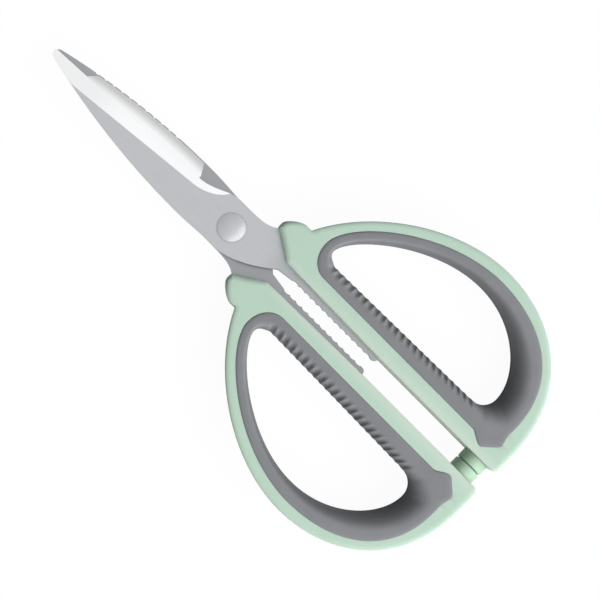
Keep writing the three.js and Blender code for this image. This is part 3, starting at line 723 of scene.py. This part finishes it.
def handleFace():                # the upper face: places in plan, their drops, triangles and the two loops
    outer = trace(handleOutline(), handle["outerSteps"], handle["spacing"])
    opening = trace(liningOutline(), handle["openingSteps"], handle["spacing"])
    nearest = KDTree(len(outer))
    for i, point in enumerate(outer):
        nearest.insert((*point, 0), i)
    nearest.balance()
    places, drops = [], []
    for degrees in handle["edgeRows"]:
        inset, fall = 1 - math.cos(math.radians(degrees)), 1 - math.sin(math.radians(degrees))
        for point, out in zip(outer, outwardsOf(outer)):
            width, drop = edgeAt(point)
            place = point - out * width * inset
            reach = nearest.find((*place, 0))[2]
            if reach > width * inset - handle["rowSlack"]:       # leaves out rows that cross in a corner
                places.append(place)
                drops.append(drop * fall)
    openingStart = len(places)
    openingOut = outwardsOf(opening)
    for degrees in handle["rimRows"]:
        inset, fall = 1 - math.cos(math.radians(degrees)), 1 - math.sin(math.radians(degrees))
        places += [point + out * handle["rimRound"] * inset for point, out in zip(opening, openingOut)]
        drops += [handle["rimRound"] * fall] * len(opening)
    loops = [list(range(len(outer))), list(range(openingStart, openingStart + len(opening)))]
    found, _, triangles, sources, _, owners = delaunay_2d_cdt(places, [], loops, 0, 1e-7)
    newIndex = {source: i for i, group in enumerate(sources) for source in group}
    kept = [triangle for triangle, owner in zip(triangles, owners) if 0 in owner and 1 not in owner]
    rims = [[newIndex[i] for i in loop] for loop in loops]
    return found, [drops[group[0]] for group in sources], kept, rims


def makeHandle(name):
    places, drops, triangles, (outer, opening) = handleFace()
    count = len(places)
    points = [Vector((*place, frameHigh.z - drop)) for place, drop in zip(places, drops)]
    points += [Vector((point.x, point.y, -point.z)) for point in points]
    faces = list(triangles) + [[i + count for i in reversed(triangle)] for triangle in triangles]
    rims = [outer]
    outwards = outwardsOf([places[i] for i in outer])
    for z, proud in ((handle["partingHalf"], 0), (0, handle["partingProud"]), (-handle["partingHalf"], 0)):
        rims.append(list(range(len(points), len(points) + len(outer))))    # the mould's parting line
        points += [Vector((*(places[i] + out * proud), z)) for i, out in zip(outer, outwards)]
    rims.append([i + count for i in outer])
    for upper, lower in list(zip(rims, rims[1:])) + [(opening, [i + count for i in opening])]:
        for i in range(len(upper)):
            faces.append((upper[i - 1], upper[i], lower[i], lower[i - 1]))
    mesh = bpy.data.meshes.new(name)
    mesh.from_pydata([point * mm for point in points], [], faces)
    obj = newObject(name, mesh)
    closeUp(obj)
    obj.data.materials.append(mintPlastic)
    gap = handle["pocketGap"]
    pocket = slab("pocket", bladeOutline(False), bladeLow.z - gap, bladeHigh.z + gap, blade["curveSteps"],
                  grow=gap)
    pocket.data.materials.append(mintPlastic)
    cutAway(obj, pocket)
    smooth(obj, handle["sharpFrom"])
    return obj


# Grip linings

def lipProfile(wall, lip):       # the wall's inner side: round the upper edge, then down a drafted wall
    run = min(lip["run"], wall * lining["lipMost"])
    top = frameHigh.z + lining["proud"]
    start, end = Vector((wall - run, top)), Vector((wall, lip["land"]))
    bend = Vector((wall - lip["draft"] * run, top))
    landing = towards(bend, end, lip["soft"])
    curve = [knot(start, None, towards(start, bend, 2 / 3)),
             knot(landing, towards(landing, bend, 2 / 3), None)]
    steps = lining["wallSteps"]
    return walk(curve, 0, lining["lipSteps"]) + [towards(landing, end, i / steps) for i in range(steps + 1)]


def liningSlice(outer, inner, lip, flute):       # one ring of points round the lining's wall
    inward = inner - outer
    wall = inward.length
    inward.normalize()
    profile = lipProfile(wall, lip)
    top = profile[0].y
    flat = profile[0].x
    edge = min(lining["rollWidth"], flat * lining["rollMost"])
    half = [(0, 0), (0, (top - lining["rollDrop"]) / 2)]
    for i in range(lining["rollSteps"] + 1):
        turn = math.radians(90 * i / lining["rollSteps"])
        half.append((edge - edge * math.cos(turn), top - lining["rollDrop"] * (1 - math.sin(turn))))
    half += [(edge + (flat - edge) * i / lining["flatSteps"], top) for i in range(1, lining["flatSteps"])]
    last = len(profile) - 1
    for i, point in enumerate(profile):
        along = profile[min(i + 1, last)] - profile[max(i - 1, 0)]
        out = Vector((-along.y, along.x)).normalized()
        deep = min(i / last / lining["ribRun"], 1)
        foot = max(2 * i / last - 1, 0)
        depth = flute * (lining["ribDepth"] * deep + (lining["ribFoot"] - lining["ribDepth"]) * foot)
        half.append(tuple(point - out * depth))
    half += [(wall - flute * lining["ribFoot"], lip["land"] / 2), (wall - flute * lining["ribFoot"], 0)]
    ring = half + [(reach, -z) for reach, z in reversed(half[1:-1])]
    return [Vector((*(outer + inward * reach), z)) for reach, z in ring]


def fluteAt(distance):           # broad hollows and narrow ribs, by distance along the straight side
    return (0.5 - 0.5 * math.cos(2 * math.pi * distance / lining["ribPitch"])) ** lining["ribNarrow"]


def liningSlices():
    wall, gap = liningOutline(), holeOutline()
    tabLast = len(wall) - 3      # the knots after the tab are back, crest and front
    tab = []
    for i in range(1, tabLast):
        tab += walk(wall, i, lining["tabSteps"])
    length = (gap[1]["at"] - gap[0]["at"]).length
    ribs = math.floor(length / lining["ribPitch"])
    steps = math.ceil(lining["ribSteps"] * length / lining["ribPitch"])
    slices = []
    for i, (outer, inner) in enumerate(zip(walk(wall, 0, steps), walk(gap, 0, steps))):
        flute = fluteAt(min(length * i / steps, ribs * lining["ribPitch"]))
        slices.append(liningSlice(outer, inner, lips["bar"], flute))
    runs = [(tab, walk(gap, 1, len(tab)), "bar", "back")]
    for i, (first, last) in enumerate((("back", "crest"), ("crest", "front"), ("front", "bar"))):
        steps = lining["curveSteps"]
        runs.append((walk(wall, tabLast + i, steps), walk(gap, 2 + i, steps), first, last))
    for outers, inners, first, last in runs:
        for i, (outer, inner) in enumerate(zip(outers, inners)):
            share = i / len(outers)
            between = {}
            for size in lips[first]:
                between[size] = lips[first][size] * (1 - share) + lips[last][size] * share
            ahead = (inner - gap[0]["at"]).length
            isRibbed = first == "front" and ahead < lining["ribsAhead"] * lining["ribPitch"]
            slices.append(liningSlice(outer, inner, between, fluteAt(ahead) if isRibbed else 0))
    return slices


def makeLining(name):
    slices = liningSlices()
    obj = sheet(name, [ring + ring[:1] for ring in slices + slices[:1]])
    closeUp(obj)
    obj.data.materials.append(greyRubber)
    only(obj)
    bpy.ops.object.shade_smooth()
    return obj


# Stop pegs

peg = {"sides": 96, "faceRound": 0.5, "roundSteps": 4, "roundFrom": 60, "stemRadius": 2.8, "sharpFrom": 30}


def makePeg(name):
    radius = (pegHigh.x - pegLow.x) / 2
    face, stemEnd = pegLow.y, pegHigh.y
    base = barInner
    middle = (pegLow.x + pegHigh.x) / 2
    bpy.ops.mesh.primitive_cylinder_add(vertices=peg["sides"], radius=radius * mm, depth=(base - face) * mm,
                                        location=Vector((middle, (face + base) / 2, 0)) * mm,
                                        rotation=(math.radians(90), 0, 0))
    obj = bpy.context.object
    obj.name = name
    bpy.ops.object.transform_apply()
    pickFaces(obj, lambda part: part.normal.y > 0.9)
    bpy.ops.mesh.inset(thickness=(radius - peg["stemRadius"]) * mm)
    bpy.ops.mesh.extrude_region_move(TRANSFORM_OT_translate={"value": (0, (stemEnd - base) * mm, 0)})
    doneEditing()
    modify(obj, "BEVEL", width=peg["faceRound"] * mm, segments=peg["roundSteps"], limit_method="ANGLE",
           angle_limit=math.radians(peg["roundFrom"]))
    obj.data.materials.append(shadedPegPlastic)
    smooth(obj, peg["sharpFrom"])
    return obj


# Pivot

rivet = {
    "sides": 96, "rimSteps": 8, "capSteps": 24, "shank": 2.5, "seatGap": 0.1,
    "headCap": 1.3, "headRound": 0.6, "tail": 3.6, "tailCap": 0.8, "tailRound": 0.4, "washerBlunt": 0.15,
    "sharpFrom": 35,
}


def turned(name, profile, material):         # a profile of radius and height spun about the pivot
    mesh = bpy.data.meshes.new(name)
    mesh.from_pydata([Vector((r, 0, z)) * mm for r, z in profile],
                     [(i, i + 1) for i in range(len(profile) - 1)], [])
    obj = newObject(name, mesh)
    pickAll(obj)
    bpy.ops.mesh.spin(steps=rivet["sides"], angle=math.radians(360), center=(0, 0, 0), axis=(0, 0, 1))
    doneEditing()
    closeUp(obj)
    obj.data.materials.append(material)
    smooth(obj, rivet["sharpFrom"])
    return obj


def domeProfile(radius, cap, edge):          # a shallow cap with a rounded rim, from its seat to its top
    ball = ((radius - edge) ** 2 + cap ** 2) / (2 * cap)
    spread = math.asin((radius - edge) / ball)
    points = [(radius, 0)]
    for i in range(rivet["rimSteps"] + 1):
        turn = (math.pi / 2 - spread) * i / rivet["rimSteps"]
        points.append((radius - edge + edge * math.cos(turn), edge * math.sin(turn)))
    rise = points[-1][1] - ball * math.cos(spread)
    reach = points[-1][0] / math.sin(spread)
    for i in range(1, rivet["capSteps"] + 1):
        turn = spread * (1 - i / rivet["capSteps"])
        points.append((reach * math.sin(turn), rise + ball * math.cos(turn)))
    return points


def makeRivet(name):
    seat = bladeHigh.z + rivet["seatGap"]
    tailSeat = washerLow.z
    head = [(r, seat + z) for r, z in domeProfile(rivetHigh.x, rivet["headCap"], rivet["headRound"])]
    tail = [(r, tailSeat - z) for r, z in domeProfile(rivet["tail"], rivet["tailCap"], rivet["tailRound"])]
    profile = list(reversed(tail)) + [(rivet["shank"], tailSeat), (rivet["shank"], seat)] + head
    return turned(name, profile, rivetSteel)


def makeWasher(name):
    low, high, outer, bore = washerLow.z, washerHigh.z, washerHigh.x, blade["holeRadius"]
    blunt = rivet["washerBlunt"]
    profile = [(bore, low), (outer - blunt, low), (outer, low + blunt),
               (outer, high - blunt), (outer - blunt, high), (bore, high), (bore, low)]
    return turned(name, profile, rivetSteel)


# Assembly

def settle(obj, node, body, isBack=False):
    moveTo(obj, pivot / mm)
    if isBack:
        bpy.ops.transform.rotate(value=math.pi, orient_axis="X", center_override=pivot)
        bpy.ops.object.transform_apply()
    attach(obj, body)
    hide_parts(node)


def copyOf(obj, name):
    only(obj)
    bpy.ops.object.duplicate()
    twin = bpy.context.object
    twin.name = name
    return twin


frontBlade = makeBlade("front_blade_steel", False)
backBlade = makeBlade("back_blade_steel", True)
print("blades ground")
frontHandle = makeHandle("front_handle_moulding")
backHandle = copyOf(frontHandle, "back_handle_moulding")
print("handles moulded")
frontLining = makeLining("front_grip_moulding")
backLining = copyOf(frontLining, "back_grip_moulding")
print("linings moulded")
frontPeg = makePeg("front_peg_moulding")
backPeg = copyOf(frontPeg, "back_peg_moulding")
pivotRivet = makeRivet("pivot_rivet_turned")
rivetWasher = makeWasher("rivet_washer_turned")
print("pegs and rivet made")

settle(frontBlade, "front_blade", "front_half")
settle(frontHandle, "front_handle_frame", "front_half")
settle(frontLining, "front_grip_lining", "front_half")
settle(frontPeg, "front_stop_peg", "front_half")
settle(backBlade, "back_blade", "back_half", True)
settle(backHandle, "back_handle_frame", "back_half", True)
settle(backLining, "back_grip_lining", "back_half", True)
settle(backPeg, "back_stop_peg", "back_half", True)
settle(pivotRivet, "pivot_rivet", "back_half")
settle(rivetWasher, "rivet_washer", "back_half")
print("pieces in place")


# Studio: white sweep, one soft lamp from the handle end, dim fill all round. The lamp is really two: metal
# mirrors only the weaker one, and so keeps its grey from every side.

studio = {
    "ambient": 0.2, "floorSize": 6, "floorDrop": 0.0005, "floorGlow": 0.96, "floorTint": 0.05,
    "keyPower": 51, "keyMirrored": 0.2, "keySize": (4, 1), "keyPlace": (1.18, 0, 0.92),
    "sheenAhead": 0.97,          # in front of the other lamp, since lamps that coincide hide each other
    "flagPlace": (-0.45, 0, 0.25), "flagSize": (1.6, 0.5), "flagColour": "#1c1c1c",
    "eye": (5.6, -34.4, 450), "target": (15.0, -0.7, 6), "up": (-1, 1, 0), "lens": 81.35, "sensor": 36,
    "clipStart": 0.01,
}


def seenDirectly(tree):          # one where the camera, a reflection or glass looks, none for scattered light
    path = addNode(tree, "ShaderNodeLightPath").outputs
    either = addNode(tree, "ShaderNodeMath", {0: path["Is Camera Ray"], 1: path["Is Glossy Ray"]},
                     operation="MAXIMUM")
    return addNode(tree, "ShaderNodeMath", {0: either.outputs[0], 1: path["Is Transmission Ray"]},
                   operation="MAXIMUM").outputs[0]


def makeWorld():
    world = bpy.data.worlds.new("white_studio")
    bpy.context.scene.world = world
    world.use_nodes = True
    tree = world.node_tree
    strength = addNode(tree, "ShaderNodeMath", {0: seenDirectly(tree), 1: 1 - studio["ambient"],
                                               2: studio["ambient"]}, operation="MULTIPLY_ADD")
    background = tree.nodes["Background"]
    background.inputs["Color"].default_value = (1, 1, 1, 1)
    tree.links.new(strength.outputs[0], background.inputs["Strength"])


def makeFloor():
    bpy.ops.mesh.primitive_plane_add(size=studio["floorSize"], location=(0, 0, -studio["floorDrop"]))
    floor = bpy.context.object
    floor.name = "studio_floor"
    material = bpy.data.materials.new("white_sweep_paper")
    material.use_nodes = True
    tree = material.node_tree
    tree.nodes.remove(tree.nodes["Principled BSDF"])
    glow = addNode(tree, "ShaderNodeMath", {0: seenDirectly(tree), 1: studio["floorGlow"]},
                   operation="MULTIPLY")
    light = addNode(tree, "ShaderNodeEmission", {"Strength": glow.outputs[0]})
    paper = addNode(tree, "ShaderNodeBsdfDiffuse", {"Color": [studio["floorTint"]] * 3 + [1.0]})
    both = addNode(tree, "ShaderNodeAddShader", {0: light.outputs[0], 1: paper.outputs[0]})
    tree.links.new(both.outputs[0], tree.nodes["Material Output"].inputs["Surface"])
    floor.data.materials.append(material)


def aim(obj, place, target, up):
    forward = (Vector(target) - Vector(place)).normalized()
    right = forward.cross(Vector(up)).normalized()
    turn = Matrix((right, right.cross(forward), -forward)).transposed()
    obj.matrix_world = Matrix.Translation(place) @ turn.to_4x4()


def makeLamp(name, power, place, isMirrored):
    lamp = bpy.data.lights.new(name, "AREA")
    lamp.shape = "RECTANGLE"
    lamp.size, lamp.size_y = studio["keySize"]
    lamp.energy = power
    obj = newObject(name, lamp)
    obj.visible_glossy = isMirrored
    aim(obj, place, (0, 0, 0), (0, 0, 1))


def makeFlag():                  # a black card on the side away from the lamp, out of the picture
    bpy.ops.mesh.primitive_plane_add(size=1, location=studio["flagPlace"], rotation=(0, math.radians(90), 0))
    flag = bpy.context.object
    flag.name = "black_flag"
    flag.scale = (studio["flagSize"][1], studio["flagSize"][0], 1)
    flag.visible_camera = False
    flag.visible_glossy = False
    material = bpy.data.materials.new("black_flocked_card")
    material.use_nodes = True
    shader = material.node_tree.nodes["Principled BSDF"]
    shader.inputs["Base Color"].default_value = paint(studio["flagColour"])
    flag.data.materials.append(material)


def makeCamera():
    camera = bpy.data.cameras.new("photo_camera")
    camera.sensor_width = studio["sensor"]
    camera.lens = studio["lens"]
    camera.clip_start = studio["clipStart"]
    obj = newObject("photo_camera", camera)
    aim(obj, Vector(studio["eye"]) * mm, Vector(studio["target"]) * mm, studio["up"])
    bpy.context.scene.camera = obj


makeWorld()
makeFloor()
keyPlace = Vector(studio["keyPlace"])
sheenPower = studio["keyPower"] * studio["keyMirrored"]
makeLamp("key_softbox", studio["keyPower"] - sheenPower, keyPlace, False)
makeLamp("key_softbox_sheen", sheenPower, keyPlace * studio["sheenAhead"], True)
makeFlag()
makeCamera()
bpy.context.scene.view_settings.view_transform = "Standard"
print("studio lit")
